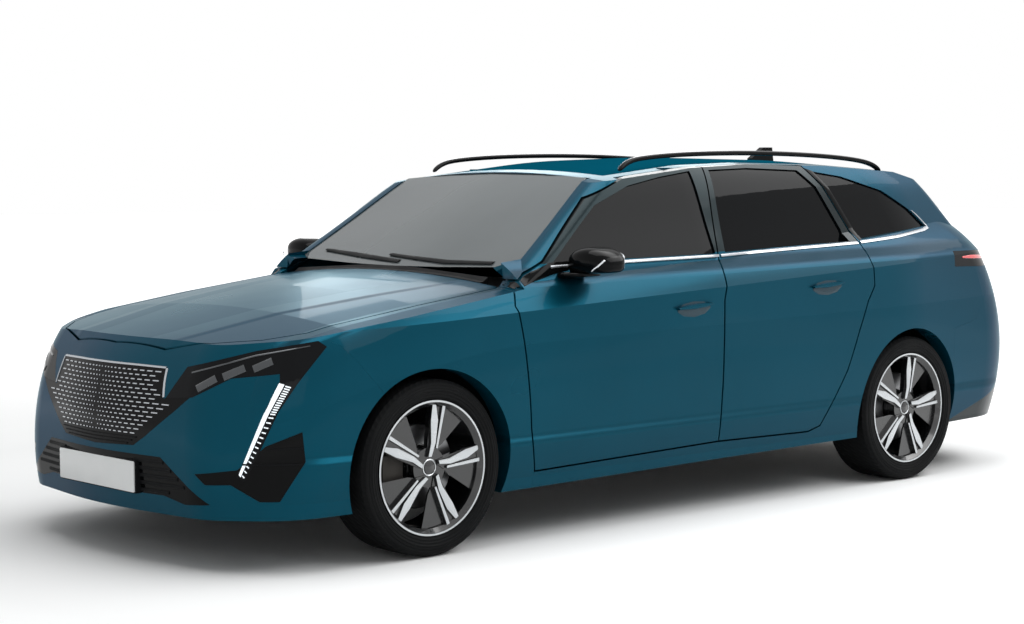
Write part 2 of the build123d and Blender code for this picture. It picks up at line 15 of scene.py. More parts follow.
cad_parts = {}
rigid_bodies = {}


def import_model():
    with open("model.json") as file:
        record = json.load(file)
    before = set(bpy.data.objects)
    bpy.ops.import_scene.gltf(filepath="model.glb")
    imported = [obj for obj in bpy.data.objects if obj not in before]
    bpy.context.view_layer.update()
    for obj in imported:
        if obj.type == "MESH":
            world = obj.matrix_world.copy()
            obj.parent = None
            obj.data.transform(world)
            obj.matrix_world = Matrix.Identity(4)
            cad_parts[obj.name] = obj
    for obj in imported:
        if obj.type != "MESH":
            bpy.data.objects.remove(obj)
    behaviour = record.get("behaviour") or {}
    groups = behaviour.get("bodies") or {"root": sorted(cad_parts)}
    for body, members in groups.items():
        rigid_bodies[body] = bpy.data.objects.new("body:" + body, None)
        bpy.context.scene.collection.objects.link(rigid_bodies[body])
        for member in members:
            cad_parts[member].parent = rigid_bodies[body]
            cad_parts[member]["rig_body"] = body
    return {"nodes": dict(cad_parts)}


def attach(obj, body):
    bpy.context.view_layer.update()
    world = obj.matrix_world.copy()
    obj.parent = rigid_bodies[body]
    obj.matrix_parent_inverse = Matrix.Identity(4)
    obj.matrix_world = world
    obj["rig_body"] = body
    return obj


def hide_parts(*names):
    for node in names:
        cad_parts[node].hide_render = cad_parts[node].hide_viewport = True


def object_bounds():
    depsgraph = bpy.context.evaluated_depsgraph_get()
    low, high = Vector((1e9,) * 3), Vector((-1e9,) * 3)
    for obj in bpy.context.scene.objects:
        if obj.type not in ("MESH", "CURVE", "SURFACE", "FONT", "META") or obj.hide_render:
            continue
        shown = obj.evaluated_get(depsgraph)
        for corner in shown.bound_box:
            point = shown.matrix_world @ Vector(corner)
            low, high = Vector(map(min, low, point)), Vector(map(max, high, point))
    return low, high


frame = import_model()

cad_box = [list(corner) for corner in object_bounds()]
nodes = frame["nodes"]
print("CAD box in metres", cad_box)

# %% [markdown]
# The camera stands at the front left corner at eye height, far enough away that the car looks calm. The
# place and the focal length were solved from points of the body that are easy to name, such as the hubs.

# %% Camera
CAMERA_PLACE = (6.00807, 6.43919, 1.35443)
FOCAL_PX, PHOTO_WIDTH_PX, SENSOR_MM = 2032.73, 1024, 36
yaw, pitch, roll = math.radians(-131.58), math.radians(-3.83), math.radians(-.25)
ahead = Vector((math.cos(pitch) * math.cos(yaw), math.cos(pitch) * math.sin(yaw), math.sin(pitch)))
right = ahead.cross(Vector((0, 0, 1))).normalized()
up = right.cross(ahead)
right_rolled = right * math.cos(roll) + up * math.sin(roll)
up_rolled = up * math.cos(roll) - right * math.sin(roll)
camera = bpy.data.objects.new("camera", bpy.data.cameras.new("camera"))
camera.data.lens = FOCAL_PX / PHOTO_WIDTH_PX * SENSOR_MM
camera.data.sensor_width = SENSOR_MM
camera.data.sensor_fit = "HORIZONTAL"
camera.data.clip_end = 200
turn = Matrix((right_rolled, up_rolled, -ahead)).transposed().to_4x4()
camera.matrix_world = Matrix.Translation(CAMERA_PLACE) @ turn
bpy.context.scene.collection.objects.link(camera)
bpy.context.scene.camera = camera
print("camera", [round(v, 3) for v in camera.location], "lens", round(camera.data.lens, 1))

# %% [markdown]
# Colours are written as the sRGB hex values that a paint chart gives, and shaders work in linear light, so
# one function turns one into the other. One more function adds a node with its settings and links.

# %% Colour and node helpers


def linear(code):
    """An sRGB hex value as linear light, with alpha 1."""
    parts = [int(code[i:i + 2], 16) / 255 for i in (1, 3, 5)]
    return tuple(c / 12.92 if c <= .04045 else ((c + .055) / 1.055) ** 2.4 for c in parts) + (1,)


def add_node(tree, kind, inputs=None, **settings):
    """A node whose inputs are given as values or as sockets to link."""
    node = tree.nodes.new(kind)
    for key, value in settings.items():
        setattr(node, key, value)
    for key, value in (inputs or {}).items():
        if isinstance(value, bpy.types.NodeSocket):
            tree.links.new(value, node.inputs[key])
        else:
            node.inputs[key].default_value = value
    return node


def maths(tree, operation, *terms):
    """The result of one sum on up to three values or sockets."""
    return add_node(tree, "ShaderNodeMath", dict(enumerate(terms)), operation=operation).outputs[0]


def ramp(tree, value, low, high, at_low=0.0, at_high=1.0, kind="LINEAR"):
    """A value that runs from at_low to at_high while another runs from low to high."""
    return add_node(tree, "ShaderNodeMapRange", {
        "Value": value, "From Min": low, "From Max": high, "To Min": at_low, "To Max": at_high,
    }, interpolation_type=kind).outputs["Result"]


def object_place(tree):
    return add_node(tree, "ShaderNodeTexCoord").outputs["Object"]


def axes(tree):
    """The object's X, Y and Z in metres, each as a socket."""
    apart = add_node(tree, "ShaderNodeSeparateXYZ", {"Vector": object_place(tree)})
    return [apart.outputs[axis] for axis in "XYZ"]


def grained(name, colour, second, grain_mm, depth_mm, rough, metallic=0.0, patch_mm=120.0, **shader):
    """A finish with two close colours in soft patches, a fine grain, and roughness that drifts a little."""
    material = bpy.data.materials.new(name)
    material.use_nodes = True
    tree = material.node_tree
    face = tree.nodes["Principled BSDF"]
    place = object_place(tree)
    patch = add_node(tree, "ShaderNodeTexNoise", {"Vector": place, "Scale": 1000 / patch_mm, "Detail": 4.0})
    grain = add_node(tree, "ShaderNodeTexNoise", {"Vector": place, "Scale": 1000 / grain_mm, "Detail": 2.0})
    mix = add_node(tree, "ShaderNodeMix", {
        "Factor": patch.outputs["Fac"], 6: linear(colour), 7: linear(second)}, data_type="RGBA")
    bump = add_node(tree, "ShaderNodeBump", {"Height": grain.outputs["Fac"], "Distance": depth_mm / 1000,
                                             "Strength": .6})
    tree.links.new(mix.outputs[2], face.inputs["Base Color"])
    tree.links.new(ramp(tree, patch.outputs["Fac"], .3, .7, *rough), face.inputs["Roughness"])
    tree.links.new(bump.outputs["Normal"], face.inputs["Normal"])
    face.inputs["Metallic"].default_value = metallic
    for key, value in shader.items():
        face.inputs[key.replace("_", " ")].default_value = value
    return material


# %% [markdown]
# Metallic basecoat under clearcoat: aluminium flake in teal, sprayed and baked, then a smooth clear layer
# that gives the sharp reflection. The flake is a few hundredths of a millimetre, so it is drawn coarser, at
# 1.5 mm, to show as a faint sparkle. Door frames above the belt line are gloss black instead of teal.
# The press also folds two lines into the sides and two into the hood. They are shaded as height in the
# finish: each is a ridge with one short and one long slope. The shoulder line drops towards the nose, past
# SHOULDER_BEND_X. The roof is seen almost edge on, so its finish is without gloss.

# %% Car paint
PAINT = "#044456"
PAINT_DEEP = "#033B4B"
FRAME_BLACK = "#08090A"
FLANK_Y = (.7, .76)
SHOULDER_Z, SHOULDER_SLOPE = .955, .018
SHOULDER_BEND_X, SHOULDER_BEND = .9, .15
SILL_Z = .36
HOOD_LINE_Y, HOOD_LINE_SLOPE = .68, .17
HOOD_Z, HOOD_X = (.74, .8), (.98, 1.1)


def pressed_ridge(tree, distance, rise_mm, short_mm, long_mm, mask, normal):
    """A ridge where distance, in metres, is 0: short slope on its plus side, long on its minus side."""
    plus = ramp(tree, distance, 0.0, short_mm / 1000, 1.0, 0.0, "SMOOTHERSTEP")
    minus = ramp(tree, distance, -long_mm / 1000, 0.0)
    held = maths(tree, "MULTIPLY", maths(tree, "MULTIPLY", plus, minus), mask)
    return add_node(tree, "ShaderNodeBump", {"Height": held, "Distance": rise_mm / 1000, "Strength": 1.0,
                                             "Normal": normal}).outputs["Normal"]


def press_lines(tree):
    """The shoulder line and the sill line of the sides, and the two lines of the hood."""
    face = tree.nodes["Principled BSDF"]
    x, y, z = axes(tree)
    wide = maths(tree, "ABSOLUTE", y)
    flank = ramp(tree, wide, *FLANK_Y)
    ahead_of = maths(tree, "MAXIMUM", maths(tree, "SUBTRACT", x, SHOULDER_BEND_X), 0.0)
    level = maths(tree, "MULTIPLY_ADD", maths(tree, "POWER", ahead_of, 2.0), SHOULDER_BEND, z)
    shoulder = maths(tree, "SUBTRACT", maths(tree, "MULTIPLY_ADD", x, SHOULDER_SLOPE, level), SHOULDER_Z)
    sill = maths(tree, "SUBTRACT", z, SILL_Z)
    hood_line = maths(tree, "SUBTRACT", maths(tree, "MULTIPLY_ADD", x, HOOD_LINE_SLOPE, wide), HOOD_LINE_Y)
    hood_mask = maths(tree, "MULTIPLY", ramp(tree, z, *HOOD_Z), ramp(tree, x, *HOOD_X))
    normal = face.inputs["Normal"].links[0].from_socket
    normal = pressed_ridge(tree, shoulder, 34, 80, 200, flank, normal)
    normal = pressed_ridge(tree, sill, 18, 50, 120, flank, normal)
    normal = pressed_ridge(tree, hood_line, 6, 60, 120, hood_mask, normal)
    tree.links.new(normal, face.inputs["Normal"])


def basecoat(name, black_above=None, black_below=None, metallic=.6, coat=.13):
    """Teal paint. Past a line z + slope * x = level, on the side that is named, it is black instead."""
    material = grained(name, PAINT, PAINT_DEEP, 1.5, .008, (.27, .33), metallic=metallic, patch_mm=700,
                       Coat_Weight=coat, Coat_Roughness=.04, Coat_IOR=1.4, Specular_Tint=linear("#4FA3B4"),
                       Specular_IOR_Level=.25)
    tree = material.node_tree
    face = tree.nodes["Principled BSDF"]
    if metallic > 0:
        press_lines(tree)
    if black_above or black_below:
        slope, level = black_above or black_below
        x, _, z = axes(tree)
        mask = maths(tree, "GREATER_THAN" if black_above else "LESS_THAN",
                     maths(tree, "MULTIPLY_ADD", x, slope, z), level)
        teal = face.inputs["Base Color"].links[0].from_socket
        both = add_node(tree, "ShaderNodeMix", {"Factor": mask, 6: teal, 7: linear(FRAME_BLACK)},
                        data_type="RGBA")
        tree.links.new(both.outputs[2], face.inputs["Base Color"])
        tree.links.new(ramp(tree, mask, 0.0, 1.0, metallic, 0.0), face.inputs["Metallic"])
    return material


paint = basecoat("teal metallic basecoat under clearcoat, sprayed")
door_paint = basecoat("teal basecoat with gloss black window frame", black_above=(.023, 1.041))
roof_paint = basecoat("teal basecoat on the roof, thin clearcoat", metallic=0.0, coat=0.0)
roof_paint.node_tree.nodes["Principled BSDF"].inputs["Specular IOR Level"].default_value = 0.0
bumper_paint = basecoat("teal basecoat over a black moulded lower edge", black_below=(.3, -.255))

# %% [markdown]
# The trim is ABS with a gloss black lacquer, the arch liners are rough moulded polypropylene, and the glass
# is toughened and tinted, so that little of the cabin shows through it. The windscreen's pale grey is painted
# reflection.

# %% Plastics, glass, rubber and metals
gloss_black = grained("gloss black lacquered ABS", "#060708", "#0A0B0C", 3, .004, (.08, .14), Coat_Weight=.03,
                      Coat_Roughness=.03, Specular_IOR_Level=.07)
moulded_black = grained("moulded black polypropylene", "#0D0E0F", "#121315", 1.2, .12, (.5, .68),
                        Specular_IOR_Level=.08)
matt_black = grained("matt black polypropylene, coarse grain", "#0B0B0C", "#101112", 2.0, .25, (.75, .9),
                    Specular_IOR_Level=.1)
tinted_glass = grained("tinted toughened glass", "#030405", "#05070A", 60, .01, (.01, .03), patch_mm=600,
                       IOR=1.52, Alpha=.985, Specular_IOR_Level=.08)
# Painted reflection: the windscreen's pale grey, on a nearly opaque sheet, stands for the bright surroundings
# it reflects
windscreen_painted_reflection_glass = grained("laminated windscreen glass, grey painted reflection", "#565B5D", "#6B7173", 60, .004, (.02, .04), patch_mm=800,
                       IOR=1.52, Alpha=.86, Specular_IOR_Level=.35)
lamp_glass = grained("smoked polycarbonate lamp cover, moulded", "#07080A", "#0D0F12", 40, .01, (.03, .07),
                     Coat_Weight=.05, Coat_Roughness=.02, Specular_IOR_Level=.08)
red_lens = grained("red acrylic lens, moulded", "#C31218", "#8E0A10", 6, .05, (.08, .16), Coat_Weight=1.0,
                   Emission_Strength=.35, Emission_Color=linear("#D8141A"))
light_guide = grained("frosted acrylic light guide", "#F4F8FB", "#E3EBF0", 3, .02, (.2, .3),
                      Emission_Strength=.55, Emission_Color=linear("#EAF4FA"))
satin_chrome = grained("satin chrome plated ABS", "#B9BCC0", "#A4A8AD", 1.5, .01, (.2, .3), metallic=1.0)
bright_chrome = grained("bright chrome plated ABS", "#D4D7DA", "#C6CACE", 4, .004, (.05, .1), metallic=1.0)
lamp_chrome = grained("vacuum metallised reflector behind smoked cover", "#3C4044", "#2B2E31", 6, .02,
                      (.1, .2), metallic=.9, Coat_Weight=1.0, Coat_Roughness=.02)
# Painted shade: a darker teal that stands for the shaded hollow behind a door handle
painted_shade_hollow_paint = grained("teal basecoat darkened as painted shade of a hollow", "#04303E", "#032733", 1.5, .008, (.3, .36),
                       metallic=.6, Coat_Weight=.4, Coat_Roughness=.05)
machined = grained("diamond turned aluminium", "#C9CCCE", "#B5B9BC", .8, .02, (.22, .34), metallic=1.0)
wheel_black = grained("gloss black powder coat on cast aluminium", "#0B0C0D", "#121315", 2.5, .03, (.18, .3),
                      Coat_Weight=.7, Coat_Roughness=.08)
cast_iron = grained("sand cast iron", "#4A4744", "#3A3836", 1.5, .2, (.5, .7), metallic=.8)
disc_steel = grained("turned grey iron brake disc", "#8C8D8E", "#7C7D7F", .7, .03, (.25, .4), metallic=1.0)
stainless = grained("drawn stainless steel", "#9A948C", "#8A847C", 1.0, .01, (.25, .4), metallic=1.0)
black_steel = grained("electrocoated steel", "#191A1B", "#202122", 2.0, .05, (.4, .55))
soft_plastic = grained("soft grained dashboard skin", "#1B1C1F", "#222327", 1.4, .15, (.5, .65))
leather = grained("black wheel leather", "#17181A", "#1E1F22", 2.2, .12, (.42, .58))
plate_white = grained("reflective plate sheet", "#E4E6E6", "#D9DCDC", 1.5, .02, (.3, .4))
mirror_face = grained("silvered mirror glass", "#D9DDE0", "#D2D7DB", 80, .002, (.01, .02), metallic=1.0)
print("materials", len(bpy.data.materials))

# %% [markdown]
# A tyre's rubber is moulded: rings round the wall, and across the tread four grooves with slanted sipes.
# Radius and angle about the axle are worked out in the material, so the pattern turns with the tyre.

# %% Tyre rubber
AXLE_Z, FRONT_X, REAR_X, HUB_Y = .3185, 1.456, -1.276, .7795
WALL_RING_PITCH, GROOVE_PITCH, SIPES = .011, .042, 72.0
TREAD_RADIUS, TREAD_DEPTH = .3, .0012


def tyre_rubber(name, axle_x):
    material = grained(name, "#0A0B0C", "#0F1011", 1.5, .05, (.62, .8), Specular_IOR_Level=.1)
    tree = material.node_tree
    x, y, z = axes(tree)
    across = maths(tree, "SUBTRACT", x, axle_x)
    height = maths(tree, "SUBTRACT", z, AXLE_Z)
    flat = add_node(tree, "ShaderNodeCombineXYZ", {"X": across, "Y": height})
    radius = add_node(tree, "ShaderNodeVectorMath", {0: flat.outputs[0]}, operation="LENGTH").outputs["Value"]
    angle = maths(tree, "ARCTAN2", height, across)
    ring_wave = maths(tree, "SINE", maths(tree, "MULTIPLY", radius, math.tau / WALL_RING_PITCH))
    groove = maths(tree, "MULTIPLY", maths(tree, "ABSOLUTE", y), math.tau / GROOVE_PITCH)
    sipe_wave = maths(tree, "SINE", maths(tree, "MULTIPLY_ADD", angle, SIPES, groove))
    tread = maths(tree, "MAXIMUM", maths(tree, "SINE", groove), sipe_wave)
    on_tread = maths(tree, "GREATER_THAN", radius, TREAD_RADIUS)
    height_mix = add_node(tree, "ShaderNodeMix", {"Factor": on_tread, 2: ring_wave, 3: tread})
    bump = add_node(tree, "ShaderNodeBump", {"Height": height_mix.outputs[0], "Distance": TREAD_DEPTH,
                                             "Strength": .7})
    tree.links.new(bump.outputs["Normal"], tree.nodes["Principled BSDF"].inputs["Normal"])
    return material


tyre_front = tyre_rubber("moulded tyre rubber, front axle", FRONT_X)
tyre_rear = tyre_rubber("moulded tyre rubber, rear axle", REAR_X)

# %% [markdown]
# Each CAD node keeps its shape and gets the finish of the real part.

# %% Finishes for the CAD nodes
SIDES = ("left", "right")
finishes = {
    roof_paint: ["roof_panel"],
    paint: ["hood", "tailgate", "front_bumper", "fender_left", "fender_right", "body_side_left",
            "body_side_right"],
    door_paint: ["door_front_left", "door_front_right", "door_rear_left", "door_rear_right"],
    bumper_paint: ["rear_bumper"],
    gloss_black: ["side_intakes", "grille", "lower_grille", "roof_rails", "roof_antenna", "mirror_left",
                  "mirror_right"],
    moulded_black: ["cowl"],
    matt_black: ["front_arch_liners", "rear_arch_liners"],
    tinted_glass: ["glass_front_left", "glass_front_right", "glass_rear_left", "glass_rear_right",
                   "quarter_glass", "tailgate_glass"],
    windscreen_painted_reflection_glass: ["windscreen"],
    lamp_glass: ["headlamps", "tail_lamps", "tailgate_lamps"],
    black_steel: ["floor_pan", "firewall", "front_subframe", "rear_axle"],
    cast_iron: ["engine_block", "knuckle_left", "knuckle_right"],
    stainless: ["exhaust"],
    soft_plastic: ["dashboard"],
    leather: ["steering_wheel", "front_seats", "rear_seat"],
    wheel_black: ["wheel_front_left", "wheel_front_right", "wheel_rear_left", "wheel_rear_right"],
    tyre_front: ["tyre_front_left", "tyre_front_right"],
    tyre_rear: ["tyre_rear_left", "tyre_rear_right"],
}
for material, names in finishes.items():
    for name in names:
        nodes[name].data.materials.clear()
        nodes[name].data.materials.append(material)
print("nodes without a finish", set(nodes) - {n for names in finishes.values() for n in names})

# %% [markdown]
# Trim follows the skin that carries it. A strip is drawn as a ladder of rungs in a flat view, each rung is
# dropped onto the CAD skin along the view's line of sight, and its top is raised by the strip's thickness.
# Where the line of sight misses the skin, or hits something more than 12 cm away, the last depth is kept.

# %% Laying pieces on the skin
ROOT_HALF = math.sqrt(.5)
DEPTH_JUMP, NO_DEPTH = .12, 4.0
SHARP_ANGLE = math.radians(38)
STRIP_PROFILE = ((0, -.8), (0, .25), (.14, 1), (.5, 1.1), (.86, 1), (1, .25), (1, -.8))
VIEWS = {
    "front": (lambda a, b: Vector((4, a, b)), Vector((-1, 0, 0))),
    "rear": (lambda a, b: Vector((-4, a, b)), Vector((1, 0, 0))),
    "side": (lambda a, b: Vector((a, 3, b)), Vector((0, -1, 0))),
    "top": (lambda a, b: Vector((a, b, 3)), Vector((0, 0, -1))),
    "corner": (lambda a, b: Vector(((4 - a) * ROOT_HALF, (4 + a) * ROOT_HALF, b)),
               Vector((-ROOT_HALF, -ROOT_HALF, 0))),
}


def skin(*names):
    """The surface of some CAD nodes, ready to be hit by rays."""
    points, faces = [], []
    for name in names:
        start = len(points)
        points += [v.co.copy() for v in nodes[name].data.vertices]
        faces += [[start + i for i in p.vertices] for p in nodes[name].data.polygons]
    return BVHTree.FromPolygons(points, faces)


def between(one, two, t):
    return (one[0] + (two[0] - one[0]) * t, one[1] + (two[1] - one[1]) * t)


def ladder(mesh, surface, view, rungs, rise, flip=False, step=.02, depth=None):
    """A strip between matching points of two edges, given in millimetres in the view.

    A strip may also have a fixed depth in metres, and flip lays it on the right side instead of the left.
    """
    source, sight = VIEWS[view]
    fine = [rungs[0]]
    for low, high in zip(rungs, rungs[1:]):
        span = max(math.dist(low[0], high[0]), math.dist(low[1], high[1])) / 1000
        count = max(1, round(span / step))
        for k in range(1, count + 1):
            t = k / count
            fine.append((between(low[0], high[0], t), between(low[1], high[1], t)))
    rows, last = [], depth
    for one, two in fine:
        row = []
        for t, lift in STRIP_PROFILE:
            a, b = between(one, two, t)
            start = source(a / 1000, b / 1000)
            reach = surface.ray_cast(start, sight)[3] if depth is None else depth
            if reach is None or (last is not None and abs(reach - last) > DEPTH_JUMP):
                reach = last
            if reach is None:
                reach = NO_DEPTH
            last = reach
            spot = start + sight * (reach - (rise / 1000) * lift)
            if flip:
                spot.y = -spot.y
            row.append(mesh.verts.new(spot))
        rows.append(row)
    for one, two in zip(rows, rows[1:]):
        for k in range(len(STRIP_PROFILE) - 1):
            mesh.faces.new((one[k], one[k + 1], two[k + 1], two[k]))
    for row in (rows[0], rows[-1]):
        mesh.faces.new(row)


def band(path, half_width):
    """Rungs across a path, square to it."""
    rungs = []
    for i, (a, b) in enumerate(path):
        before, after = path[max(i - 1, 0)], path[min(i + 1, len(path) - 1)]
        along = Vector((after[0] - before[0], after[1] - before[1])).normalized()
        half = half_width[i] if isinstance(half_width, (list, tuple)) else half_width
        rungs.append(((a - along.y * half, b + along.x * half), (a + along.y * half, b - along.x * half)))
    return rungs


def piece(name, mesh, material, body):
    """A mesh as a visible piece that rides a body, shaded smooth apart from its sharp edges."""
    bmesh.ops.recalc_face_normals(mesh, faces=mesh.faces)
    data = bpy.data.meshes.new(name)
    mesh.to_mesh(data)
    mesh.free()
    data.materials.append(material)
    data.polygons.foreach_set("use_smooth", [True] * len(data.polygons))
    data.set_sharp_from_angle(angle=SHARP_ANGLE)
    made = bpy.data.objects.new(name, data)
    bpy.context.scene.collection.objects.link(made)
    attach(made, body)
    return made


# %% [markdown]
# The grille is a black panel with rows of bright dashes that grow from dots at the middle to long strokes
# at the sides, every other row shifted by half a step. A dash is left out where it would come nearer than
# DASH_MARGIN to the panel's edge. Under them run three slats, and a satin strip frames the panel.

# %% Grille
GRILLE_HALF = [(0, 692), (352, 692), (372, 588), (505, 598), (440, 548), (295, 449), (237, 415), (0, 404)]
LOWEST_ROW, ROW_PITCH, ROWS = 458, 15.6, 15
DASH_MARGIN, DASH_HALF_HEIGHT = 9, 2.6
SHORTEST_DASH, DASH_GROWTH = 5, .085
DASH_GAP, GAP_GROWTH = 13, .01


def inside(point, outline):
    """Whether a point of the view lies within an outline."""
    a, b = point
    hits = 0
    for (x0, y0), (x1, y1) in zip(outline, outline[1:] + outline[:1]):
        if (y0 > b) != (y1 > b) and a < (x1 - x0) * (b - y0) / (y1 - y0) + x0:
            hits += 1
    return hits % 2 == 1


nose = skin("grille", "front_bumper")
dashes = bmesh.new()
dash_count = 0
for row in range(ROWS):
    height = LOWEST_ROW + row * ROW_PITCH
    at = 0 if row % 2 else -9
    while at < 500:
        length = SHORTEST_DASH + DASH_GROWTH * max(at, 0)
        ends = (at, height), (at + length, height)
        edges = [(p[0] + shift, p[1] + lift) for p, shift in zip(ends, (-DASH_MARGIN, DASH_MARGIN))
                 for lift in (-DASH_MARGIN, DASH_MARGIN)]
        if at > 2 and all(inside(p, GRILLE_HALF) for p in edges):
            for flip in (False, True):
                ladder(dashes, nose, "front", band(ends, DASH_HALF_HEIGHT), 3, flip)
                dash_count += 1
        at += length + DASH_GAP + GAP_GROWTH * max(at, 0)
piece("grille_dashes", dashes, satin_chrome, "body")
print("grille dashes", dash_count)

slats = bmesh.new()
for height, reach in ((418, 205), (430, 228), (442, 252)):
    for flip in (False, True):
        ladder(slats, nose, "front", band([(0, height), (reach, height + .01 * reach)], 2.4), 4, flip)
piece("grille_slats", slats, moulded_black, "body")

frame_strip = bmesh.new()
for flip in (False, True):
    ladder(frame_strip, nose, "front", band([(0, 694), (200, 694), (350, 692)], 4), 3.5, flip)
    ladder(frame_strip, nose, "front", band([(354, 690), (363, 640), (374, 592)], 3.5), 3.5, flip)
    ladder(frame_strip, nose, "front",
           band([(500, 597), (440, 546), (295, 446), (237, 412), (120, 406), (0, 404)], [2, 4, 5, 4, 3, 3]),
           3.5, flip)
piece("grille_frame", frame_strip, satin_chrome, "body")

# %% [markdown]
# The lower opening has broad black slats and carries the plate on a flat holder. The plate stays blank.

# %% Lower opening and plates
PLATE_HALF, PLATE_HALF_HEIGHT, FRONT_PLATE_Z = 260, 55, 305
REAR_PLATE_Z = (690, 800)
chin = skin("lower_grille", "front_bumper")
low_slats = bmesh.new()
for height, reach in ((262, 418), (288, 500), (314, 470), (340, 435), (366, 395)):
    for flip in (False, True):
        ladder(low_slats, chin, "front", band([(240, height), (reach, height)], 6.5), 3, flip)
piece("lower_grille_slats", low_slats, moulded_black, "body")


def slab(name, x, y_half, z, z_half, thick, material, body, radius=8):
    """A thin upright sheet with rounded corners, facing forwards where thick is positive."""
    outline = []
    for cy, cz, start in ((1, 1, 0), (-1, 1, 90), (-1, -1, 180), (1, -1, 270)):
        for k in range(6):
            turn = math.radians(start + k * 18)
            outline.append((cy * (y_half - radius) + radius * math.cos(turn),
                            cz * (z_half - radius) + radius * math.sin(turn)))
    mesh = bmesh.new()
    layers = []
    for shift, shrink in ((0, 0), (thick * .8, 0), (thick, .8)):
        layers.append([mesh.verts.new(((x + shift) / 1000, a * (1 - shrink / y_half) / 1000,
                                       (z + b * (1 - shrink / z_half)) / 1000)) for a, b in outline])
    for one, two in zip(layers, layers[1:]):
        for k in range(len(outline)):
            j = (k + 1) % len(outline)
            mesh.faces.new((one[k], one[j], two[j], two[k]))
    mesh.faces.new(layers[0])
    mesh.faces.new(layers[-1])
    return piece(name, mesh, material, body)


front_edge = cad_box[1][0] * 1000
slab("plate_front_holder", front_edge - 45, PLATE_HALF + 6, FRONT_PLATE_Z, PLATE_HALF_HEIGHT + 5, 40,
     moulded_black, "body", 12)
slab("plate_front", front_edge - 4.6, PLATE_HALF, FRONT_PLATE_Z, PLATE_HALF_HEIGHT, 4, plate_white,
     "body", 6)
rear_plate = bmesh.new()
ladder(rear_plate, skin("tailgate", "rear_bumper"), "rear",
       [tuple((end, z) for z in REAR_PLATE_Z) for end in (-PLATE_HALF, PLATE_HALF)], 3)
piece("plate_rear", rear_plate, plate_white, "tailgate")

# %% [markdown]
# Each headlamp is one smoked cover: lens blocks with a grey light strip in the slim upper part, and a white
# light guide down the fang, with a comb of short ticks on its outer side.

# %% Headlamps
lamp_skin = skin("headlamps", "front_bumper", "fender_left")
FANG_INNER = [(-897, 684), (-900, 655), (-950, 550), (-1034, 346)]
FANG_OUTER = [(-838, 672), (-848, 640), (-903, 545), (-1016, 322)]
TICKS = 26

guides, ticks, blocks = bmesh.new(), bmesh.new(), bmesh.new()
for flip in (False, True):
    ladder(guides, lamp_skin, "corner", [(between(a, b, .04), between(a, b, .4))
                                         for a, b in list(zip(FANG_INNER, FANG_OUTER))[1:]], 3, flip)
    for k in range(TICKS):
        t = (k + .5) / TICKS * 2
        part = min(int(t), 1)
        low = between(FANG_INNER[part + 1], FANG_INNER[part + 2], t - part)
        high = between(FANG_OUTER[part + 1], FANG_OUTER[part + 2], t - part)
        ladder(ticks, lamp_skin, "corner", band([between(low, high, .5), between(low, high, .86)], 2.2), 2,
               flip)
    for low, high in (((-1190, 630), (-1120, 668)), ((-1095, 672), (-1020, 704)), ((-990, 700), (-925, 728))):
        ladder(blocks, lamp_skin, "corner", band([low, high], 13), 4, flip)
    ladder(blocks, lamp_skin, "corner", band([(-1215, 682), (-985, 744), (-800, 776)], [3, 3.5, 2]), 2.5,
           flip)
piece("headlamp_guides", guides, light_guide, "body")
piece("headlamp_ticks", ticks, light_guide, "body")
piece("headlamp_blocks", blocks, lamp_chrome, "body")

# %% [markdown]
# The corner intakes are black, with level slats in the upper part and a smooth lower part.

# %% Corner intakes
corner_skin = skin("side_intakes", "front_bumper")
corner_slats = bmesh.new()
# Height of each slat, and its inner and outer end
for height, low, high in ((470, -860, -822), (452, -905, -818), (434, -935, -815), (416, -965, -813),
                          (398, -990, -810), (380, -1020, -812)):
    for flip in (False, True):
        ladder(corner_slats, corner_skin, "corner", band([(low, height), (high, height)], 3.5), 6, flip)
piece("corner_intake_slats", corner_slats, moulded_black, "body")

# %% [markdown]
# Extruded aluminium strip, brushed and anodised, runs under the side windows and curls round the rear tip.
# It is cut at the doors, so each length moves with its own door.

# %% Window trim
for side in SIDES:
    flip = side == "right"
    for name, body, path, half in (
            ("front", "door_front_" + side, [(800, 1010), (400, 1020), (-102, 1028)], 6.5),
            ("rear", "door_rear_" + side, [(-112, 1028), (-500, 1042), (-1000, 1058)], 6.5),
            ("quarter", "body", [(-1020, 1060), (-1300, 1078), (-1560, 1102), (-1612, 1112), (-1618, 1122),
                                 (-1560, 1166), (-1520, 1190)], [6.5, 6.5, 6.5, 6.5, 6, 5, 3])):
        strip = bmesh.new()
        carrier = "body_side_left" if body == "body" else body.replace("right", "left")
        ladder(strip, skin(carrier), "side", band(path, half), 4, flip)
        piece(f"window_strip_{name}_{side}", strip, satin_chrome, body)

# %% [markdown]
# Gloss black covers hide the pillar between the rear door glass and the quarter glass.

# %% Pillar cover
for side in SIDES:
    cover = bmesh.new()
    ladder(cover, skin("body_side_left"), "side",
           [((-1020, 1068), (-1044, 1072)), ((-1008, 1112), (-1040, 1112)), ((-908, 1302), (-945, 1298)),
            ((-834, 1382), (-880, 1370))], 1.5, side == "right")
    piece("pillar_cover_" + side, cover, gloss_black, "body")

# %% [markdown]
# A door handle is a flap, painted with the body, over an oval hollow that the hand reaches into. The hollow
# is not cut into the skin: a darker oval dish lies on it, its darkness painted shade, and the flap bridges
# it.

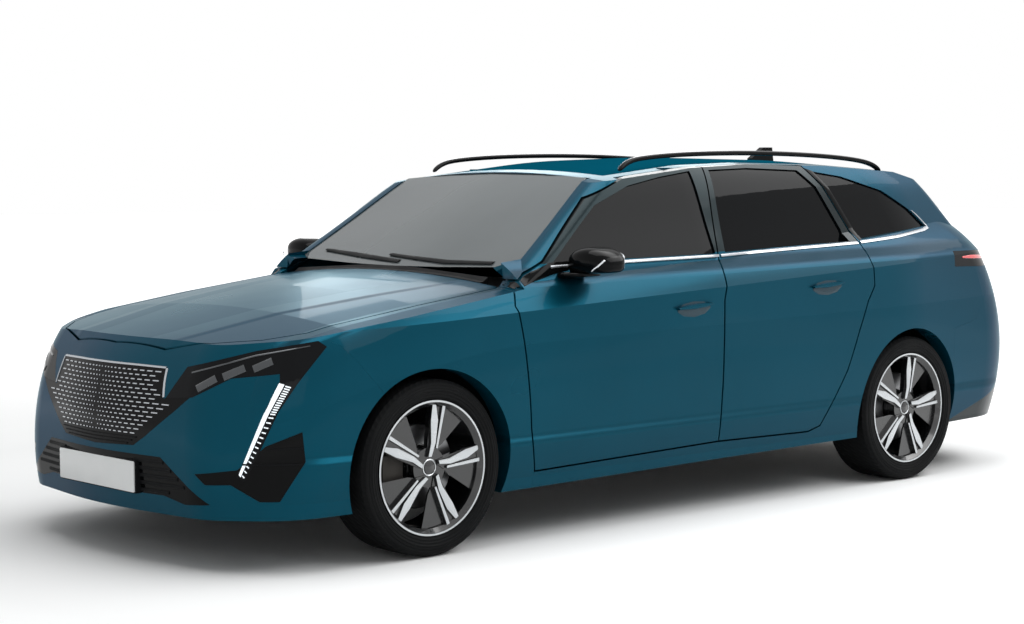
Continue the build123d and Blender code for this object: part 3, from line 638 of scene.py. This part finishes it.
# %% Door handles
for side in SIDES:
    for door, x, z in (("door_front_", 130, 826), ("door_rear_", -690, 879)):
        carrier = skin(door + "left")
        dish, flap = bmesh.new(), bmesh.new()
        ladder(dish, carrier, "side", band([(x + 92, z - 6), (x + 60, z - 4), (x, z - 2), (x - 60, z + 2),
                                            (x - 92, z + 4)], [5, 24, 31, 24, 5]), 1.2, side == "right")
        ladder(flap, carrier, "side", band([(x + 98, z + 3), (x + 50, z + 7), (x, z + 9), (x - 60, z + 13),
                                            (x - 98, z + 17)], [4, 9, 11, 9, 3]), 16, side == "right")
        # The dish's darker teal is painted shade of the hollow
        piece(f"handle_dish_{door}{side}", dish, painted_shade_hollow_paint, door + side)
        piece(f"handle_flap_{door}{side}", flap, paint, door + side)

# %% [markdown]
# Mirrors are lacquered shells, widest near the door and drawn in towards the tip, with a thin chrome line
# at the outer edge and a silvered glass at the back. Rings of points are lofted along the mirror's length.

# %% Mirrors
RING_POINTS = 28
# A power of 1 gives an oval ring, and a smaller one a rounder rectangle
MIRROR_CORNER = .62


def lofted(name, rings, material, body, flip=False):
    """Skin over rings (y, x low, x high, z low, z high), each a rounded rectangle, with closed ends."""
    mesh = bmesh.new()
    rows = []
    for y, x0, x1, z0, z1 in rings:
        row = []
        for k in range(RING_POINTS):
            turn = math.tau * k / RING_POINTS
            c, s = math.cos(turn), math.sin(turn)
            row.append(mesh.verts.new((
                (x0 + x1) / 2 + (x1 - x0) / 2 * math.copysign(abs(c) ** MIRROR_CORNER, c), -y if flip else y,
                (z0 + z1) / 2 + (z1 - z0) / 2 * math.copysign(abs(s) ** MIRROR_CORNER, s))))
        rows.append(row)
    for one, two in zip(rows, rows[1:]):
        for k in range(RING_POINTS):
            j = (k + 1) % RING_POINTS
            mesh.faces.new((one[k], one[j], two[j], two[k]))
    mesh.faces.new(rows[0])
    mesh.faces.new(rows[-1])
    made = piece(name, mesh, material, body)
    rounding = made.modifiers.new("rounding", "SUBSURF")
    rounding.levels = rounding.render_levels = 1
    return made


mirror_skin = skin("mirror_left")
for side in SIDES:
    flip = side == "right"
    body = nodes["mirror_" + side]["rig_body"]
    shell = lofted("mirror_shell_" + side, [
        (.812, .66, .72, .99, 1.02), (.82, .632, .742, .986, 1.05), (.85, .606, .76, .984, 1.076),
        (.9, .597, .766, .984, 1.088), (.95, .598, .764, .985, 1.086), (.985, .606, .755, .987, 1.074),
        (1.012, .622, .738, .99, 1.056), (1.026, .645, .715, .998, 1.038), (1.029, .66, .7, 1.006, 1.028)],
        gloss_black, body, flip)
    lofted("mirror_stalk_" + side, [(.77, .64, .79, .962, .99), (.84, .64, .775, .966, .992),
                                    (.93, .64, .752, .974, .994)], gloss_black, body, flip)
    lofted("mirror_glass_" + side, [(.84, .594, .6, .998, 1.055), (.89, .59, .597, .994, 1.072),
                                    (.97, .597, .603, .996, 1.066), (1.005, .614, .621, 1.002, 1.05)],
           mirror_face, body, flip)
    line = bmesh.new()
    for (y, z), (y_next, z_next) in (((1024, 1040), (1006, 1016)), ((1006, 1016), (982, 998))):
        ladder(line, mirror_skin, "front", band([(y, z), (y_next, z_next)], 2.2), 2, flip)
    piece("mirror_line_" + side, line, bright_chrome, body)
    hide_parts("mirror_" + side)

# %% [markdown]
# A gloss black foot joins the mirror to the door under the front corner of the window.

# %% Mirror foot
for side in SIDES:
    foot = bmesh.new()
    ladder(foot, skin("door_front_left"), "side",
           [((985, 934), (985, 948)), ((900, 957), (900, 990)), ((800, 982), (800, 1026)),
            ((700, 998), (700, 1030)), ((610, 1010), (610, 1024))], 2, side == "right")
    piece("mirror_foot_" + side, foot, gloss_black, "door_front_" + side)

# %% [markdown]
# The roof rails are extruded aluminium, bent, closed by castings at both ends and lacquered black. One long
# low arc is lofted from rounded sections, close over the roof.

# %% Roof rails
RAIL_LINE = [(238, 1374), (215, 1394), (178, 1412), (120, 1425), (-100, 1441), (-450, 1449), (-800, 1446),
             (-1100, 1434), (-1290, 1418), (-1370, 1402), (-1412, 1384), (-1430, 1368)]
RAIL_Y, RAIL_CORNER, RAIL_POINTS = 588, .7, 16
# Half height and half width of the rail at its end and at the next points inward
RAIL_HALVES = ((7, 15), (9, 16), (10, 17), (10.5, 17))
for side in SIDES:
    rail = bmesh.new()
    rows = []
    for i, (x, z) in enumerate(RAIL_LINE):
        from_end = min(i, len(RAIL_LINE) - 1 - i)
        tall, wide = RAIL_HALVES[min(from_end, len(RAIL_HALVES) - 1)]
        row = []
        for k in range(RAIL_POINTS):
            c, s = math.cos(math.tau * k / RAIL_POINTS), math.sin(math.tau * k / RAIL_POINTS)
            y = (RAIL_Y + wide * math.copysign(abs(c) ** RAIL_CORNER, c)) / 1000
            row.append(rail.verts.new((x / 1000, -y if side == "right" else y,
                                       (z + tall * math.copysign(abs(s) ** RAIL_CORNER, s)) / 1000)))
        rows.append(row)
    for one, two in zip(rows, rows[1:]):
        for k in range(RAIL_POINTS):
            j = (k + 1) % RAIL_POINTS
            rail.faces.new((one[k], one[j], two[j], two[k]))
    rail.faces.new(rows[0])
    rail.faces.new(rows[-1])
    made = piece("roof_rail_" + side, rail, gloss_black, "body")
    bend = made.modifiers.new("bend", "SUBSURF")
    bend.levels = bend.render_levels = 2
    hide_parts("roof_rails")

# %% [markdown]
# The wheels are cast, painted gloss black and then turned on a lathe with a diamond tool, which leaves the
# bar faces and the rim edge bright. Those faces are thin skins over the CAD bars, one set per wheel.

# %% Wheel faces, brake discs and hubs
WIDE_BAR = [((8, 225), (25, 224)), ((-1, 168), (34, 168)), ((0, 88), (22, 88)), ((-12, 40), (3, 40))]
THIN_BAR = [((54, 219), (68, 215)), ((22, 70), (30, 66))]
BAR_PAIRS, BAR_SHARE, LATHE_STEPS = 5, .92, 96
BAR_FACE_DEPTH = 3 - HUB_Y - .092


def turned(point, k):
    """A point of the wheel's face, turned to the pair of bars with that number."""
    c, s = math.cos(k * math.tau / BAR_PAIRS), math.sin(k * math.tau / BAR_PAIRS)
    return (point[0] * c + point[1] * s, point[1] * c - point[0] * s)


def lathe(name, profile, axle_x, material, body, flip):
    """Points (radius, y) in millimetres, turned about an axle."""
    mesh = bmesh.new()
    steps = [math.tau * k / LATHE_STEPS for k in range(LATHE_STEPS)]
    rows = [[mesh.verts.new((axle_x + r / 1000 * math.cos(turn), (-y if flip else y) / 1000,
                             AXLE_Z + r / 1000 * math.sin(turn))) for turn in steps] for r, y in profile]
    for one, two in zip(rows, rows[1:] + rows[:1]):
        for k in range(LATHE_STEPS):
            j = (k + 1) % LATHE_STEPS
            mesh.faces.new((one[k], one[j], two[j], two[k]))
    return piece(name, mesh, material, body)


for axle, axle_x in (("front", FRONT_X), ("rear", REAR_X)):
    carrier = skin(f"wheel_{axle}_left")
    for side in SIDES:
        flip = side == "right"
        body = f"wheel_{axle}_{side}"
        bars = bmesh.new()
        for k in range(BAR_PAIRS):
            for outline in (WIDE_BAR, THIN_BAR):
                rungs = []
                for one, two in outline:
                    pair = [turned(p, k) for p in (one, two)]
                    middle = between(*pair, .5)
                    kept = [between(middle, p, BAR_SHARE) for p in pair]
                    rungs.append(tuple((axle_x * 1000 - a, AXLE_Z * 1000 + b) for a, b in kept))
                ladder(bars, carrier, "side", rungs, .8, flip, depth=BAR_FACE_DEPTH)
        piece(f"bar_faces_{axle}_{side}", bars, machined, body)
        lathe(f"rim_edge_{axle}_{side}", [(236, 882), (242.5, 882), (242.5, 883.2), (236, 883.2)], axle_x,
              machined, body, flip)
        lathe(f"hub_ring_{axle}_{side}", [(26, 859), (31, 859), (31, 862), (28, 863.5), (26, 862)], axle_x,
              machined, body, flip)
        lathe(f"hub_cap_{axle}_{side}", [(.5, 858), (24, 858), (24, 862), (20, 864), (.5, 865)], axle_x,
              wheel_black, body, flip)
        lathe(f"brake_disc_{axle}_{side}",
              [(80, 792), (150, 792), (152, 794), (152, 800), (150, 802), (80, 802)],
              axle_x, disc_steel, body, flip)

# %% [markdown]
# Tail lamps glow red in a slim line inside their smoked cover, and the line runs on across the tailgate.

# %% Tail lamps
for side in SIDES:
    flip = side == "right"
    red = bmesh.new()
    ladder(red, skin("tail_lamps"), "side", band([(-1760, 972), (-1850, 972), (-1990, 968)], [4, 8, 8]), 2,
           flip)
    piece("tail_lamp_line_" + side, red, red_lens, "body")
red = bmesh.new()
for flip in (False, True):
    for k in range(3):
        ladder(red, skin("tailgate_lamps"), "rear",
               band([(330 + 70 * k, 966), (380 + 70 * k, 936)], 9), 2, flip)
piece("tailgate_lamp_claws", red, red_lens, "tailgate")

# %% [markdown]
# Seats are foam under woven cloth: each cushion is crowned across its width, pulled in at its ends and at
# two sewn channels. Rings of the side outline are laid across the width, and their size makes the crown.

# %% Seats
seat_cloth = grained("woven seat cloth over foam", "#26282C", "#303338", 3, .5, (.8, .92), patch_mm=60,
                     Sheen_Weight=.35, Sheen_Roughness=.5)


# Share of the width, and size of the ring there
CUSHION_RINGS = ((0, .8), (.03, .93), (.1, .99), (.2, 1), (.235, .95), (.27, 1), (.5, 1), (.73, 1),
                 (.765, .95), (.8, 1), (.9, .99), (.97, .93), (1, .8))


def cushion(name, outline, y0, y1):
    """A padded cushion over an outline (x, z), from y0 to y1, all in millimetres."""
    mesh = bmesh.new()
    cx = sum(p[0] for p in outline) / len(outline)
    cz = sum(p[1] for p in outline) / len(outline)
    dense = []
    for one, two in zip(outline, outline[1:] + outline[:1]):
        dense += [between(one, two, t / 4) for t in range(4)]
    rows = [[mesh.verts.new(((cx + (a - cx) * size) / 1000, (y0 + (y1 - y0) * t) / 1000,
                             (cz + (b - cz) * size) / 1000)) for a, b in dense] for t, size in CUSHION_RINGS]
    for one, two in zip(rows, rows[1:]):
        for k in range(len(dense)):
            j = (k + 1) % len(dense)
            mesh.faces.new((one[k], one[j], two[j], two[k]))
    mesh.faces.new(rows[0])
    mesh.faces.new(rows[-1])
    for _ in range(2):
        bmesh.ops.smooth_vert(mesh, verts=mesh.verts, factor=.3, use_axis_x=True, use_axis_z=True)
    made = piece(name, mesh, seat_cloth, "body")
    soft = made.modifiers.new("soft", "SUBSURF")
    soft.levels = soft.render_levels = 1
    return made


for side, y0, y1 in (("left", 125, 615), ("right", -615, -125)):
    seat = cushion("front_cushion_" + side, [(-195, 250), (295, 250), (355, 465), (320, 492), (60, 462),
                                             (-120, 445), (-190, 470)], y0, y1)
    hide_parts("front_seats")
    cushion("front_back_" + side, [(-195, 470), (-125, 460), (-252, 950), (-345, 950), (-300, 700)], y0 + 20,
            y1 - 20)
    cushion("front_headrest_" + side, [(-345, 985), (-262, 985), (-272, 1110), (-330, 1120)], y0 + 125,
            y1 - 125)
bench = cushion("rear_cushion", [(-800, 250), (-425, 250), (-385, 465), (-420, 492), (-790, 462),
                                 (-822, 430)], -612, 612)
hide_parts("rear_seat")
cushion("rear_back", [(-890, 548), (-805, 475), (-862, 560), (-1040, 990), (-1102, 990), (-1000, 700)],
        -612, 612)

# %% [markdown]
# Two wiper arms rest at the foot of the windscreen, parked one over the other towards the left.

# %% Wipers
screen = skin("windscreen", "cowl", "hood")
wipers = bmesh.new()
for path in ([(560, 1022), (300, 1020), (-60, 1040)], [(40, 1016), (-240, 1030), (-560, 1046)]):
    ladder(wipers, screen, "front", band(path, [5, 7, 4]), 10)
piece("wipers", wipers, moulded_black, "body")

# %% [markdown]
# A plain studio: pale floor, white surroundings, two large soft lamps overhead and two weaker ones. The
# world is white where it is seen directly or in gloss and glass, and dimmer as a light, so that the paint
# keeps its depth. Past GLOW_FROM metres from the car the floor brightens, so that no horizon shows.

# %% Studio
WORLD_LIGHT, FLOOR_HALF, FLOOR_DROP = .34, 60, .001
GLOW_FROM, GLOW_FULL = 3.0, 11.0
world = bpy.data.worlds.new("studio")
bpy.context.scene.world = world
world.use_nodes = True
sky = world.node_tree
rays = add_node(sky, "ShaderNodeLightPath")
seen = maths(sky, "MAXIMUM", rays.outputs["Is Camera Ray"], rays.outputs["Is Glossy Ray"])
seen_through = maths(sky, "MAXIMUM", seen, rays.outputs["Is Transmission Ray"])
sky.nodes["Background"].inputs["Color"].default_value = (1, 1, 1, 1)
sky.links.new(ramp(sky, seen_through, 0.0, 1.0, WORLD_LIGHT, 1.0), sky.nodes["Background"].inputs["Strength"])

floor_mesh = bmesh.new()
bmesh.ops.create_grid(floor_mesh, x_segments=8, y_segments=8, size=FLOOR_HALF)
floor_data = bpy.data.meshes.new("studio_floor")
floor_mesh.to_mesh(floor_data)
floor_mesh.free()
floor = bpy.data.objects.new("studio_floor", floor_data)
floor_data.materials.append(grained("matt white studio floor", "#F6F7F7", "#F3F4F4", 4, .02, (.8, .9),
                                    patch_mm=2000))
spread = floor_data.materials[0].node_tree
floor_face = spread.nodes["Principled BSDF"]
from_car = add_node(spread, "ShaderNodeVectorMath", {0: object_place(spread)}, operation="LENGTH")
glow = ramp(spread, from_car.outputs["Value"], GLOW_FROM, GLOW_FULL)
floor_face.inputs["Emission Color"].default_value = (1, 1, 1, 1)
spread.links.new(glow, floor_face.inputs["Emission Strength"])
floor.location.z = -FLOOR_DROP
bpy.context.scene.collection.objects.link(floor)


def lamp(name, place, target, size, power):
    """A soft lamp that faces a target. Places and sizes are in metres, and power is in watts."""
    light = bpy.data.objects.new(name, bpy.data.lights.new(name, "AREA"))
    light.data.shape = "RECTANGLE"
    light.data.size, light.data.size_y = size
    light.data.energy = power
    light.location = place
    light.rotation_euler = (Vector(target) - Vector(place)).to_track_quat("-Z", "Y").to_euler()
    bpy.context.scene.collection.objects.link(light)


lamp("overhead_softbox", (0, .2, 5.2), (0, 0, 0), (7.5, 3.2), 250)
lamp("long_side_softbox", (-3.2, 3.2, 4.8), (-.6, 0, .8), (9.5, 3.0), 290)
lamp("front_left_softbox", (5.5, 6.5, 3.2), (.5, 0, .6), (3, 2), 20)
lamp("rear_right_softbox", (-5, -6, 3.5), (-.5, 0, .8), (4, 2), 90)
bpy.context.scene.view_settings.view_transform = "Standard"
